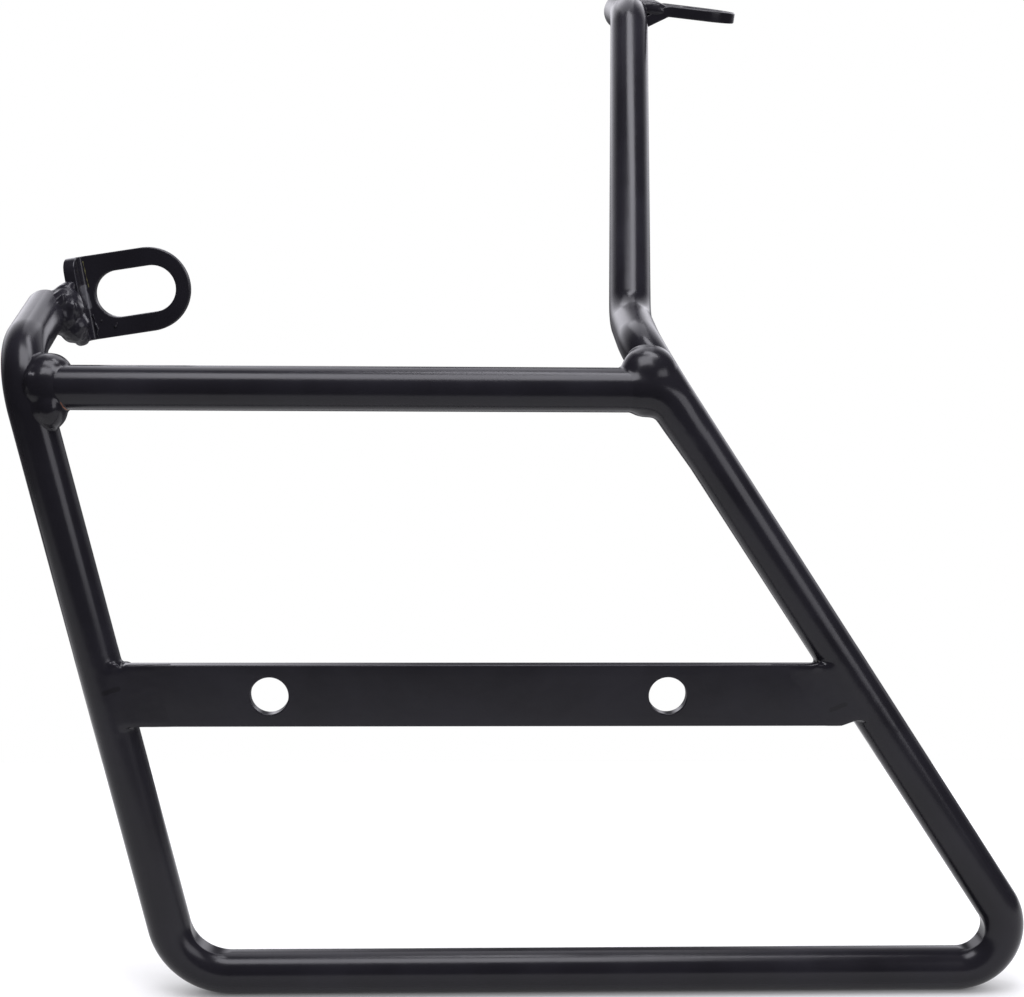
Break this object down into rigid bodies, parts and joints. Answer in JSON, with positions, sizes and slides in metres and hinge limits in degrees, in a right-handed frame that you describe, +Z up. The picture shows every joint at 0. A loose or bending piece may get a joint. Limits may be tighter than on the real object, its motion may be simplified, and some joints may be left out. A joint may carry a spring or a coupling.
{
  "type": "pannier frame",
  "caption": "Welded round-tube side frame that holds a soft saddlebag off a motorbike's wheel, with a flat drilled bag bar and slotted mounting lugs.",
  "frame": {"origin": "midway between the bag bar's two bolt holes, on the bar's outer face", "axes": "+X from the front leg towards the rear leg, +Y inboard towards the wheel, +Z up"},
  "size_m": [0.3293, 0.1785, 0.3368],
  "materials": {
    "black_coat": "satin black powder coat over steel"
  },
  "bodies": {
    "root": {"main_tube": "black_coat", "cross_tube": "black_coat", "bag_bar": "black_coat", "front_lug": "black_coat", "top_tab": "black_coat", "weld_beads": "black_coat"}
  },
  "joints": []
}
